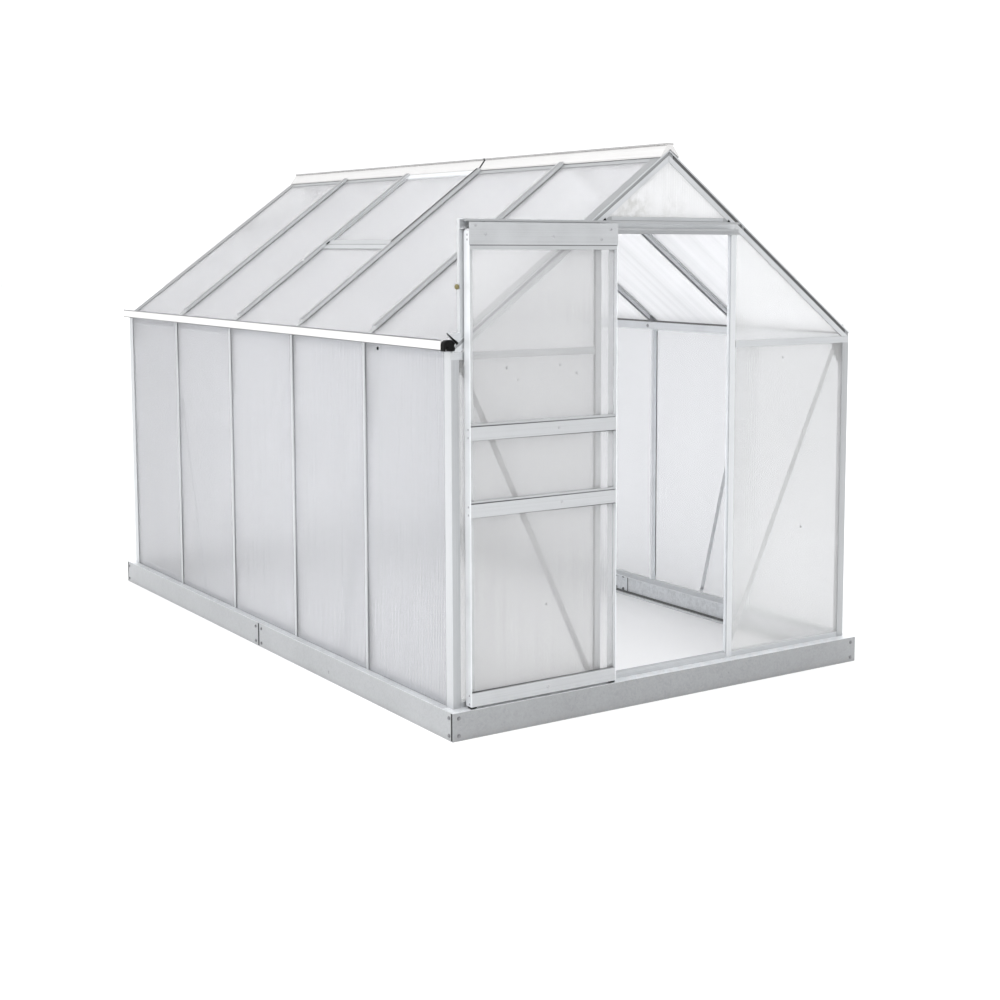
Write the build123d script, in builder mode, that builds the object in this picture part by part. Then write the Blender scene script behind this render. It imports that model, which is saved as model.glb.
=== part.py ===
from build123d import *
import math
import os

# Hobby greenhouse: aluminium glazing bars and twin-wall polycarbonate sheets on a
# galvanised steel base skirt, with a gable roof, one roof vent and a sliding front door.
# Millimetres. X across the width, Y along the ridge (the door is at -Y), Z up, with the
# origin on the ground at the middle of the footprint.

os.makedirs("parts", exist_ok=True)

# ---------------------------------------------------------------- driving dimensions
WIDTH = 1900.0          # over the base skirt
LENGTH = 3200.0         # over the base skirt
HEIGHT = 2050.0         # ground to the top of the ridge cap
BASE_H = 100.0          # height of the steel skirt
BASE_T = 2.0            # thickness of the steel skirt
FLANGE_END = 75.0       # depth of the skirt's top flange at the ends
FLANGE_SIDE = 62.0      # depth of the skirt's top flange at the sides
FOOT_FLANGE = 38.0      # depth of the skirt's bottom flange
WALL_X = 922.0          # outer face of the side walls' bars
WALL_Y = 1556.0         # outer face of the end walls' bars
BAY = 620.0             # spacing of studs and rafters along the length
SILL_H = 20.0           # height of the sill channel above the base
RIDGE_Z = 2028.0        # where the two outer roof planes would meet
PITCH = 0.745           # rise of the roof per unit of run
EAVE_Z = 1332.0         # top of the eave beam
EAVE_H = 34.0           # height of the eave beam's inner leg
TIE_Z0, TIE_Z1 = 1298.0, 1323.0      # eave tie bar across the end walls
HEAD_Z0, HEAD_Z1 = 1722.0, 1783.0    # header bar over the doorway
JAMB_X = 314.0          # centre of the door jambs
BACK_STUD_X = 310.0     # centre of the back wall's studs
SHEET = 4.0             # polycarbonate sheet thickness
SLOT = 2.3              # depth of the sheet's outer face behind the bars' outer face
BAR_W = 16.0            # width of a wall stud's outer cap
BAR_D = 28.0            # depth of a glazing bar
FACE = 32.0             # depth of a gable rafter's face
LIP = 36.0              # the same with the lip over the sheet
VENT_IN, VENT_OUT = 44.0, 462.0      # roof vent, distances from the ridge line
VENT_HALF = 295.0       # half of the vent's length along the ridge
DOOR_X0, DOOR_X1 = -873.0, -260.0    # door at rest: slid open over the left front bay
DOOR_TRAVEL = 566.5     # slide from open to closed
DOOR_Z0, DOOR_Z1 = 108.0, 1729.0     # door stiles
DOOR_FRONT = -1597.0    # front edge of the door stiles
DOOR_BACK = -1563.0     # back edge of the door stiles
PLATE_Z0, PLATE_Z1 = 1682.0, 1758.0  # hanger plate at the head of the door
RAIL_H = 46.0           # height of the door rails
RAIL_UP, RAIL_LOW = 1049.0, 786.0    # centres of the two middle door rails
TRACK_Z0, TRACK_Z1 = 1735.0, 1768.0  # door track
TRACK_X0, TRACK_X1 = -887.0, 312.0
ROLLER_R = 11.0

COS = 1.0 / math.sqrt(1.0 + PITCH * PITCH)
STUD_Y = [-1.5 * BAY, -0.5 * BAY, 0.5 * BAY, 1.5 * BAY]


# ---------------------------------------------------------------- shape helpers
def block(x0, x1, y0, y1, z0, z1):
    with Locations(((x0 + x1) / 2, (y0 + y1) / 2, (z0 + z1) / 2)):
        Box(abs(x1 - x0), abs(y1 - y0), abs(z1 - z0))


def run_x(points, x0, x1):
    # profile given as (y, z), extruded along X
    with BuildSketch(Plane.YZ.offset(x0)) as profile:
        with BuildLine():
            Polyline(*points, close=True)
        make_face()
    extrude(profile.sketch, amount=x1 - x0)


def run_y(points, y0, y1):
    # profile given as (x, z), extruded along Y
    with BuildSketch(Plane.XZ.offset(-y1)) as profile:
        with BuildLine():
            Polyline(*points, close=True)
        make_face()
    extrude(profile.sketch, amount=y1 - y0)


def run_z(points, z0, z1):
    # profile given as (x, y), extruded along Z
    with BuildSketch(Plane.XY.offset(z0)) as profile:
        with BuildLine():
            Polyline(*points, close=True)
        make_face()
    extrude(profile.sketch, amount=z1 - z0)


def roof_z(x, d=0.0):
    # height of the surface that lies d under the outer roof plane
    return RIDGE_Z - PITCH * abs(x) - d / COS


def roof_x(z, d=0.0):
    # distance from the ridge line where that surface is at height z
    return (RIDGE_Z - d / COS - z) / PITCH


def roof_strip(side, d0, d1, x_in, x_out, y0, y1, z_min=0.0):
    # layer of the roof slope between the depths d0 and d1, cut level at z_min
    up, low = roof_x(z_min, d0), roof_x(z_min, d1)
    pts = [(x_in, roof_z(x_in, d0))]
    if up >= x_out:
        pts.append((x_out, roof_z(x_out, d0)))
        if low >= x_out:
            pts.append((x_out, roof_z(x_out, d1)))
        else:
            pts += [(x_out, z_min), (low, z_min)]
    else:
        pts += [(up, z_min), (low, z_min)]
    pts.append((x_in, roof_z(x_in, d1)))
    run_y([(side * x, z) for x, z in pts], min(y0, y1), max(y0, y1))


def full_profile(cap):
    # section of a glazing bar as (width, depth): cap, sheet slot, shelf, stem, bulb
    half = [(cap, 0.0), (cap, 2.0), (2.0, 2.0), (2.0, 6.6), (cap + 2.0, 6.6),
            (cap + 2.0, 8.6), (2.0, 8.6), (2.0, BAR_D - 4), (6.0, BAR_D - 4), (6.0, BAR_D)]
    return half + [(-u, w) for u, w in reversed(half)]


def flat_brace(run, a, b, width, p0, p1):
    # flat strip between two points of a wall plane
    ux, uz = b[0] - a[0], b[1] - a[1]
    n = math.hypot(ux, uz)
    nx, nz = -uz / n * width / 2, ux / n * width / 2
    run([(a[0] + nx, a[1] + nz), (b[0] + nx, b[1] + nz),
         (b[0] - nx, b[1] - nz), (a[0] - nx, a[1] - nz)], p0, p1)


# ---------------------------------------------------------------- base skirt
HX, HY = WIDTH / 2, LENGTH / 2


def base_end(s):
    # end rail: web, top flange and bottom flange with a small upturned lip
    block(-HX, HX, s * (HY - BASE_T), s * HY, 0, BASE_H)
    block(-HX + 3, HX - 3, s * (HY - FLANGE_END), s * (HY - BASE_T), BASE_H - BASE_T, BASE_H)
    block(-HX + 3, HX - 3, s * (HY - FOOT_FLANGE), s * (HY - BASE_T), 0, BASE_T)
    block(-HX + 3, HX - 3, s * (HY - FOOT_FLANGE), s * (HY - FOOT_FLANGE + BASE_T), BASE_T, 10)


def base_side(s, y0, y1):
    # half of a side rail; its flanges stop at the end rails' flanges
    f0 = y0 if abs(y0) < 100 else -(HY - FLANGE_END - 0.5)
    f1 = y1 if abs(y1) < 100 else HY - FLANGE_END - 0.5
    b0 = y0 if abs(y0) < 100 else -(HY - FOOT_FLANGE - 0.5)
    b1 = y1 if abs(y1) < 100 else HY - FOOT_FLANGE - 0.5
    block(s * (HX - BASE_T), s * HX, y0, y1, 0, BASE_H)
    block(s * (HX - FLANGE_SIDE), s * (HX - BASE_T), f0, f1, BASE_H - BASE_T, BASE_H)
    block(s * (HX - FOOT_FLANGE), s * (HX - BASE_T), b0, b1, 0, BASE_T)
    block(s * (HX - FOOT_FLANGE), s * (HX - FOOT_FLANGE + BASE_T), b0, b1, BASE_T, 10)


with BuildPart() as base_front:
    base_end(-1)
base_front.part.label = "base_front"

with BuildPart() as base_back:
    base_end(1)
base_back.part.label = "base_back"

with BuildPart() as base_left:
    base_side(-1, -(HY - 3), -0.8)
    base_side(-1, 0.8, HY - 3)
base_left.part.label = "base_left"

with BuildPart() as base_right:
    base_side(1, -(HY - 3), -0.8)
    base_side(1, 0.8, HY - 3)
base_right.part.label = "base_right"

with BuildPart() as base_brackets:
    # splice plates at mid-length and folded angles in the corners, inside the skirt
    for sx in (-1, 1):
        block(sx * (HX - 4), sx * (HX - 2), -60, 60, 12, 96)
        for sy in (-1, 1):
            block(sx * (HX - 4), sx * (HX - 2), sy * (HY - 60), sy * (HY - 2), 12, 96)
            block(sx * (HX - 60), sx * (HX - 4), sy * (HY - 4), sy * (HY - 2), 12, 96)
base_brackets.part.label = "base_brackets"

# ---------------------------------------------------------------- sills on the skirt
SILL_TOP = BASE_H + SILL_H


def sill_end(s):
    o, i = WALL_Y - 2, WALL_Y - 29
    run_x([(s * o, BASE_H), (s * o, SILL_TOP), (s * i, SILL_TOP), (s * i, BASE_H),
           (s * (i + 2), BASE_H), (s * (i + 2), SILL_TOP - 2), (s * (o - 2), SILL_TOP - 2),
           (s * (o - 2), BASE_H)], -890.5, 890.5)


def sill_side(s):
    o, i = WALL_X - 8.6, WALL_X - 29
    run_y([(s * o, BASE_H), (s * o, SILL_TOP), (s * i, SILL_TOP), (s * i, BASE_H),
           (s * (i + 2), BASE_H), (s * (i + 2), SILL_TOP - 2), (s * (o - 2), SILL_TOP - 2),
           (s * (o - 2), BASE_H)], -1526.0, 1526.0)


with BuildPart() as sill_front:
    sill_end(-1)
sill_front.part.label = "sill_front"

with BuildPart() as sill_back:
    sill_end(1)
sill_back.part.label = "sill_back"

with BuildPart() as sill_left:
    sill_side(-1)
sill_left.part.label = "sill_left"

with BuildPart() as sill_right:
    sill_side(1)
sill_right.part.label = "sill_right"

# ---------------------------------------------------------------- posts
with BuildPart() as corner_posts:
    # angle of two outer caps round a square core, with a slot for each wall's sheet
    for sx in (-1, 1):
        for sy in (-1, 1):
            pts = [(922, 1556), (922, 1514), (920, 1514), (920, 1536), (915, 1536), (915, 1530),
                   (894, 1530), (894, 1549), (902, 1549), (902, 1554), (890, 1554), (890, 1556)]
            run_z([(sx * x, sy * y) for x, y in pts], BASE_H, TIE_Z0)
            # the side cap runs on up to the rafter, behind the end of the eave tie
            block(sx * 920, sx * 922, sy * 1514, sy * 1553.5, TIE_Z0, TIE_Z1 + 0.5)
corner_posts.part.label = "corner_posts"


def side_stud(s, y):
    # the cap and slot run down to the skirt, the stem stands on the sill
    prof = full_profile(BAR_W / 2)
    run_z([(s * (WALL_X - w), y + u) for u, w in prof], SILL_TOP, EAVE_Z - 2)
    c, f = BAR_W / 2, BAR_W / 2 + 2
    cap = [(c, 0), (c, 2), (2, 2), (2, 6.6), (f, 6.6), (f, 8.6),
           (-f, 8.6), (-f, 6.6), (-2, 6.6), (-2, 2), (-c, 2), (-c, 0)]
    run_z([(s * (WALL_X - w), y + u) for u, w in cap], BASE_H, SILL_TOP)


def end_stud(s, x):
    # the outer cap runs down in front of the sill to the skirt
    prof = full_profile(13.0)
    run_z([(x + u, s * (WALL_Y - w)) for u, w in prof], SILL_TOP, HEAD_Z0)
    block(x - 13, x + 13, s * (WALL_Y - 2), s * WALL_Y, BASE_H, SILL_TOP)


with BuildPart() as left_studs:
    for y in STUD_Y:
        side_stud(-1, y)
left_studs.part.label = "left_studs"

with BuildPart() as right_studs:
    for y in STUD_Y:
        side_stud(1, y)
right_studs.part.label = "right_studs"

with BuildPart() as door_jambs:
    for x in (-JAMB_X, JAMB_X):
        end_stud(-1, x)
door_jambs.part.label = "door_jambs"

with BuildPart() as back_studs:
    for x in (-BACK_STUD_X, BACK_STUD_X):
        end_stud(1, x)
back_studs.part.label = "back_studs"

# ---------------------------------------------------------------- eaves
with BuildPart() as eave_beams:
    # angle along the top of each side wall: seat for the rafters and an inner leg
    for s in (-1, 1):
        run_y([(s * WALL_X, EAVE_Z - 2), (s * WALL_X, EAVE_Z), (s * (WALL_X - 31), EAVE_Z),
               (s * (WALL_X - 31), EAVE_Z - EAVE_H), (s * (WALL_X - 29), EAVE_Z - EAVE_H),
               (s * (WALL_X - 29), EAVE_Z - 2)], -1526.0, 1526.0)
eave_beams.part.label = "eave_beams"


def gutter(s, y0, y1):
    # floor under the ends of the roof sheets, outer wall, and a lip over the eave beam's edge
    o, i = HX, WALL_X + 0.3
    run_y([(s * i, 1328), (s * (i + 2), 1328), (s * (i + 2), 1333), (s * o, 1333), (s * o, 1364),
           (s * (o - 2), 1364), (s * (o - 2), 1335), (s * i, 1335)], y0, y1)


with BuildPart() as gutters:
    gutter(-1, -1537.0, 1556.0)
    gutter(1, -1500.0, 1556.0)
gutters.part.label = "gutters"

with BuildPart() as gutter_end_cap:
    # plug over the front end of the left gutter, with an arch cut in its foot
    block(-950, -923, -1560.5, -1537.0, 1328, 1366)
    block(-923, -915, -1560.5, -1558.5, 1328, 1366)
    with Locations((-935, -1549, 1328)):
        Box(12, 30, 18, mode=Mode.SUBTRACT)
gutter_end_cap.part.label = "gutter_end_cap"


def tie(s, x0, x1):
    # glazing bar on its side: outer cap, web between two sheets, inner flange;
    # only the cap runs over the corner posts
    mid = 1310.5
    w0, w1 = max(x0, -892.0), min(x1, 892.0)
    block(x0, x1, s * (WALL_Y - 2), s * WALL_Y, TIE_Z0, TIE_Z1)
    block(w0, w1, s * (WALL_Y - 26), s * (WALL_Y - 2), mid - 2, mid + 2)
    block(w0, w1, s * (WALL_Y - 28), s * (WALL_Y - 26), TIE_Z0 + 2, TIE_Z1 - 2)


with BuildPart() as eave_ties:
    j, b = JAMB_X + 15.5, BACK_STUD_X + 15.5
    tie(-1, -WALL_X, -j)
    tie(-1, j, WALL_X)
    tie(1, -WALL_X, -b)
    tie(1, -b + 31, b - 31)
    tie(1, b, WALL_X)
eave_ties.part.label = "eave_ties"

# ---------------------------------------------------------------- roof bars
with BuildPart() as gable_rafters:
    # roof flange, a groove under it, the broad face of the gable and a lip over the sheet
    for sy in (-1, 1):
        for sx in (-1, 1):
            roof_strip(sx, 0, 2, 0.5, WALL_X, sy * 1558, sy * 1508, TIE_Z1 + 1)
            roof_strip(sx, 2, 6, 0.5, WALL_X, sy * 1558, sy * 1540, TIE_Z1 + 1)
            roof_strip(sx, 6, 17, 0.5, WALL_X, sy * 1553, sy * 1540, TIE_Z1 + 1)
            roof_strip(sx, 17, FACE, 0.5, WALL_X, sy * 1556, sy * 1540, TIE_Z1 + 1)
            roof_strip(sx, FACE, LIP, 0.5, WALL_X, sy * 1556, sy * 1554, TIE_Z1 + 1)
gable_rafters.part.label = "gable_rafters"


def rafter(s, y):
    # glazing bar like the studs, with a raised cap that stops short of the gutter
    layers = [(0, 2, 11), (2, 6.6, 2), (6.6, 8.6, 13), (8.6, 24, 2), (24, 28, 6)]
    for d0, d1, half in layers:
        roof_strip(s, d0, d1, 22.0, 918.0, y - half, y + half, EAVE_Z)
    roof_strip(s, -10, 0, 43.0, 878.0, y - 14, y + 14)


with BuildPart() as left_rafters:
    for y in STUD_Y:
        rafter(-1, y)
left_rafters.part.label = "left_rafters"

with BuildPart() as right_rafters:
    for y in STUD_Y:
        rafter(1, y)
right_rafters.part.label = "right_rafters"

with BuildPart() as ridge_beam:
    run_y([(-20, 1962), (20, 1962), (20, 2012), (0, 2026), (-20, 2012)], -1507.5, 1507.5)
ridge_beam.part.label = "ridge_beam"

with BuildPart() as ridge_caps:
    # folded cap in two lengths that meet over the second rafter
    foot = roof_z(40) + 0.3
    cap = [(-42, foot), (-42, 2004), (-12, 2044), (-16, 2044), (-16, HEIGHT), (16, HEIGHT),
           (16, 2044), (12, 2044), (42, 2004), (42, foot), (40, foot), (40, 2003.4),
           (9.5, 2044), (9.5, 2046), (-9.5, 2046), (-9.5, 2044), (-40, 2003.4), (-40, foot)]
    run_y(cap, -1562.0, -0.5 * BAY - 1)
    run_y(cap, -0.5 * BAY + 1, 1556.0)
    # a plate closes each outer end, cut to the slopes
    shut = [(-42, foot), (-42, 2004), (-12, 2044), (-12, 2048), (12, 2048), (12, 2044),
            (42, 2004), (42, foot), (0, roof_z(0) + 0.3)]
    run_y(shut, -1562.0, -1560.0)
    run_y(shut, 1554.0, 1556.0)
ridge_caps.part.label = "ridge_caps"

# ---------------------------------------------------------------- headers, door track
with BuildPart() as headers:
    # bar across each gable: front plate, shelf for the gable sheet, shelf over the jambs
    for s in (-1, 1):
        x0, x1 = roof_x(HEAD_Z0, LIP) - 0.5, roof_x(HEAD_Z1, LIP) - 0.5
        run_y([(-x0, HEAD_Z0), (x0, HEAD_Z0), (x1, HEAD_Z1), (-x1, HEAD_Z1)],
              min(s * 1556, s * 1554), max(s * 1556, s * 1554))
        block(-275, 275, s * 1554, s * 1532, 1768, 1770)
        block(-334, 334, s * 1554, s * 1532, HEAD_Z0, HEAD_Z0 + 2)
        block(-275, 275, s * 1534, s * 1532, HEAD_Z0 + 2, 1768)
headers.part.label = "headers"

with BuildPart() as door_track:
    # channel open to the front, with a low rail for the rollers
    run_x([(-1558, TRACK_Z0), (-1558, TRACK_Z1), (-1591, TRACK_Z1), (-1591, TRACK_Z1 - 8),
           (-1589, TRACK_Z1 - 8), (-1589, TRACK_Z1 - 2), (-1560, TRACK_Z1 - 2),
           (-1560, TRACK_Z0 + 2), (-1583, TRACK_Z0 + 2), (-1583, TRACK_Z0 + 7),
           (-1585, TRACK_Z0 + 7), (-1585, TRACK_Z0)], TRACK_X0, TRACK_X1)
door_track.part.label = "door_track"

with BuildPart() as track_strut:
    # post that carries the free end of the track, on a wedge-shaped foot on the rafter
    block(-887, -864, -1558, -1544, 1390, TRACK_Z1)
    run_y([(-905, roof_z(905) + 0.4), (-905, 1366), (-887, 1390), (-861, 1390),
           (-861, roof_z(861) + 0.4)], -1558, -1544)
track_strut.part.label = "track_strut"

# ---------------------------------------------------------------- bracing
with BuildPart() as end_wall_braces:
    for s in (-1, 1):
        p0, p1 = min(s * 1528, s * 1526), max(s * 1528, s * 1526)
        for sx in (-1, 1):
            flat_brace(run_y, (sx * 868, 1278), (sx * 332, 134), 22, p0, p1)
end_wall_braces.part.label = "end_wall_braces"

with BuildPart() as side_wall_braces:
    for s in (-1, 1):
        p0, p1 = min(s * 894, s * 892), max(s * 894, s * 892)
        for sy in (-1, 1):
            flat_brace(run_x, (sy * 1010, 1288), (sy * 688, 128), 20, p0, p1)
side_wall_braces.part.label = "side_wall_braces"

with BuildPart() as eave_gussets:
    for s in (-1, 1):
        for sx in (-1, 1):
            run_y([(sx * 914, 1297), (sx * 850, 1297), (sx * 895, 1205), (sx * 914, 1205)],
                  min(s * 1530, s * 1528), max(s * 1530, s * 1528))
eave_gussets.part.label = "eave_gussets"

# ---------------------------------------------------------------- roof vent in the left slope
with BuildPart() as vent_frame:
    roof_strip(-1, -3, 8, VENT_IN, VENT_OUT, -VENT_HALF, -VENT_HALF + 22)
    roof_strip(-1, -3, 8, VENT_IN, VENT_OUT, VENT_HALF - 22, VENT_HALF)
    roof_strip(-1, -3, 8, VENT_IN, VENT_IN + 20, -VENT_HALF, VENT_HALF)
    roof_strip(-1, -3, 8, VENT_OUT - 22, VENT_OUT, -VENT_HALF, VENT_HALF)
vent_frame.part.label = "vent_frame"

with BuildPart() as vent_sill:
    roof_strip(-1, 0, 2, VENT_OUT + 0.6, VENT_OUT + 20, -296, 296)
    roof_strip(-1, 2, 8.6, VENT_OUT + 10, VENT_OUT + 14, -296, 296)
    roof_strip(-1, 6.6, 8.6, VENT_OUT + 2, VENT_OUT + 22, -296, 296)
vent_sill.part.label = "vent_sill"

with BuildPart() as vent_pane:
    roof_strip(-1, 1, 5, VENT_IN + 20.5, VENT_OUT - 22.5, -VENT_HALF + 22.5, VENT_HALF - 22.5)
vent_pane.part.label = "vent_pane"

# ---------------------------------------------------------------- glazing
SIDE_BAYS = [(-1534.0, -1.5 * BAY - 2.5)]
SIDE_BAYS += [(STUD_Y[i] + 2.5, STUD_Y[i + 1] - 2.5) for i in range(3)]
SIDE_BAYS += [(1.5 * BAY + 2.5, 1534.0)]


def side_sheets(s):
    for y0, y1 in SIDE_BAYS:
        block(s * (WALL_X - SLOT - SHEET), s * (WALL_X - SLOT), y0, y1, BASE_H + 1, EAVE_Z - 2.5)


with BuildPart() as left_wall_glazing:
    side_sheets(-1)
left_wall_glazing.part.label = "left_wall_glazing"

with BuildPart() as right_wall_glazing:
    side_sheets(1)
right_wall_glazing.part.label = "right_wall_glazing"


def roof_sheets(s, vent):
    for i, (y0, y1) in enumerate(SIDE_BAYS):
        y0, y1 = max(y0, -1537.5), min(y1, 1537.5)
        x_in = VENT_OUT + 14.5 if vent and i == 2 else 24.0
        roof_strip(s, SLOT, SLOT + SHEET, x_in, WALL_X - 0.5, y0, y1)


with BuildPart() as left_roof_glazing:
    roof_sheets(-1, True)
left_roof_glazing.part.label = "left_roof_glazing"

with BuildPart() as right_roof_glazing:
    roof_sheets(1, False)
right_roof_glazing.part.label = "right_roof_glazing"


def end_sheets(s, stud_x):
    # lower sheets, and upper sheets cut to the slope, between the studs and the corners
    y0, y1 = sorted((s * (WALL_Y - SLOT), s * (WALL_Y - SLOT - SHEET)))
    top = HEAD_Z0 - 1
    for sx in (-1, 1):
        block(sx * (stud_x + 2.5), sx * 900, y0, y1, SILL_TOP + 0.5, 1308)
        run_y([(sx * (stud_x + 2.5), 1313), (sx * roof_x(1313, FACE + 1), 1313),
               (sx * roof_x(top, FACE + 1), top), (sx * (stud_x + 2.5), top)], y0, y1)


with BuildPart() as front_wall_glazing:
    end_sheets(-1, JAMB_X)
front_wall_glazing.part.label = "front_wall_glazing"

with BuildPart() as back_wall_glazing:
    end_sheets(1, BACK_STUD_X)
    b0, b1 = WALL_Y - SLOT - SHEET, WALL_Y - SLOT
    block(-BACK_STUD_X + 2.5, BACK_STUD_X - 2.5, b0, b1, SILL_TOP + 0.5, 1308)
    block(-BACK_STUD_X + 2.5, BACK_STUD_X - 2.5, b0, b1, 1313, HEAD_Z0 - 1)
back_wall_glazing.part.label = "back_wall_glazing"

with BuildPart() as gable_glazing:
    for s in (-1, 1):
        y0, y1 = sorted((s * (WALL_Y - SLOT), s * (WALL_Y - SLOT - SHEET)))
        g = roof_x(1770.5, FACE + 1)
        run_y([(-g, 1770.5), (g, 1770.5), (0, roof_z(0, FACE + 1))], y0, y1)
gable_glazing.part.label = "gable_glazing"

# ---------------------------------------------------------------- sliding door
PANE_Y0, PANE_Y1 = -1581.5, -1577.5

with BuildPart() as door_stiles:
    # deep side plate with a flange behind the panes
    for x, s in ((DOOR_X0, 1), (DOOR_X1, -1)):
        block(x, x + s * 3, DOOR_FRONT, DOOR_BACK, DOOR_Z0, DOOR_Z1)
        block(x + s * 3, x + s * 24, PANE_Y1 + 1, PANE_Y1 + 4, DOOR_Z0, DOOR_Z1 - 14)
door_stiles.part.label = "door_stiles"

with BuildPart() as door_hanger_plate:
    block(DOOR_X0, DOOR_X1, DOOR_FRONT - 2, DOOR_FRONT, PLATE_Z0, PLATE_Z1)
door_hanger_plate.part.label = "door_hanger_plate"


def door_rail(z0, z1):
    # channel open to the back, between the stiles
    f = DOOR_FRONT
    run_x([(f, z0), (f, z1), (-1582, z1), (-1582, z1 - 2), (f + 2, z1 - 2), (f + 2, z0 + 2),
           (-1582, z0 + 2), (-1582, z0)], DOOR_X0 + 3, DOOR_X1 - 3)


with BuildPart() as door_rails:
    door_rail(1666, 1716)
    door_rail(RAIL_UP - RAIL_H / 2, RAIL_UP + RAIL_H / 2)
    door_rail(RAIL_LOW - RAIL_H / 2, RAIL_LOW + RAIL_H / 2)
    door_rail(DOOR_Z0, DOOR_Z0 + 48)
door_rails.part.label = "door_rails"

with BuildPart() as door_panes:
    for z0, z1 in ((DOOR_Z0 + 2, RAIL_LOW - 1), (RAIL_LOW + 1, RAIL_UP - 1), (RAIL_UP + 1, 1714)):
        block(DOOR_X0 + 3.5, DOOR_X1 - 3.5, PANE_Y0, PANE_Y1, z0, z1)
door_panes.part.label = "door_panes"

with BuildPart() as door_rollers:
    # wheel on an axle behind the hanger plate, running in the track
    for x in (DOOR_X0 + 70, DOOR_X1 - 70):
        with BuildSketch(Plane.XZ.offset(-DOOR_FRONT)):
            with Locations((x, TRACK_Z0 + 2 + ROLLER_R + 0.4)):
                Circle(3)
        extrude(amount=-26)
        with BuildSketch(Plane.XZ.offset(1580)):
            with Locations((x, TRACK_Z0 + 2 + ROLLER_R + 0.4)):
                Circle(ROLLER_R)
        extrude(amount=-9)
door_rollers.part.label = "door_rollers"

with BuildPart() as door_guide_shoes:
    # plastic sliders under the stiles
    for x in (DOOR_X0 + 13, DOOR_X1 - 13):
        block(x - 11, x + 11, -1594, -1570, 102, DOOR_Z0)
door_guide_shoes.part.label = "door_guide_shoes"

# ---------------------------------------------------------------- one file per piece
for piece in (base_front, base_back, base_left, base_right, base_brackets,
              sill_front, sill_back, sill_left, sill_right,
              corner_posts, left_studs, right_studs, door_jambs, back_studs,
              eave_beams, gutters, gutter_end_cap, eave_ties,
              gable_rafters, left_rafters, right_rafters, ridge_beam, ridge_caps,
              headers, door_track, track_strut,
              end_wall_braces, side_wall_braces, eave_gussets,
              vent_frame, vent_sill, vent_pane,
              left_wall_glazing, right_wall_glazing, left_roof_glazing, right_roof_glazing,
              front_wall_glazing, back_wall_glazing, gable_glazing,
              door_stiles, door_hanger_plate, door_rails, door_panes, door_rollers,
              door_guide_shoes):
    export_step(piece.part, "parts/" + piece.part.label + ".step")
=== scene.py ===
import math
import random

import bmesh
import bpy
from mathutils import Matrix, Vector


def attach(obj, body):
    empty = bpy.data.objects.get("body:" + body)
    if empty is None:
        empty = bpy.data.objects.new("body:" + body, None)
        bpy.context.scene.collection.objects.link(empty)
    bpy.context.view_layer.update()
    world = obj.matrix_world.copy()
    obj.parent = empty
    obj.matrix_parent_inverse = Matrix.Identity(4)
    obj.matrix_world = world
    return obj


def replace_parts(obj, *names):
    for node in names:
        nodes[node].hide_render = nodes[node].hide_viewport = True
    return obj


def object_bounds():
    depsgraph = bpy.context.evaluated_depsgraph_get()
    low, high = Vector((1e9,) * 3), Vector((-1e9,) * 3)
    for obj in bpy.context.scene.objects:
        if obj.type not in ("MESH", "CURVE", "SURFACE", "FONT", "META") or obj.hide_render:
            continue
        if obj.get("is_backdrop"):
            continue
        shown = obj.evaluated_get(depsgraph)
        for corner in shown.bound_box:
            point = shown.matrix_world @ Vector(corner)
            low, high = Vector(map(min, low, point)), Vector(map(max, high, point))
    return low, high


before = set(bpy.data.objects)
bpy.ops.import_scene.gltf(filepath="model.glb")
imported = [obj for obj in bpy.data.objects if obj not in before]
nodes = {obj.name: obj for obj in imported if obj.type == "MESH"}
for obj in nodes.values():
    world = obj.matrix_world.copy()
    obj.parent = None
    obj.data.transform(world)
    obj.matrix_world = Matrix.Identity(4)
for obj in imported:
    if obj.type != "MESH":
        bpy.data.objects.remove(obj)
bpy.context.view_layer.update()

# Roof geometry, metres: outer roof plane z = RIDGE - PITCH * |x|
RIDGE, PITCH = 2.028, 0.745
COS = 1.0 / math.sqrt(1.0 + PITCH * PITCH)
SIN = PITCH * COS
STUD_Y = (-0.93, -0.31, 0.31, 0.93)


def roof_z(x, d=0.0):
    return RIDGE - PITCH * abs(x) - d / COS


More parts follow.
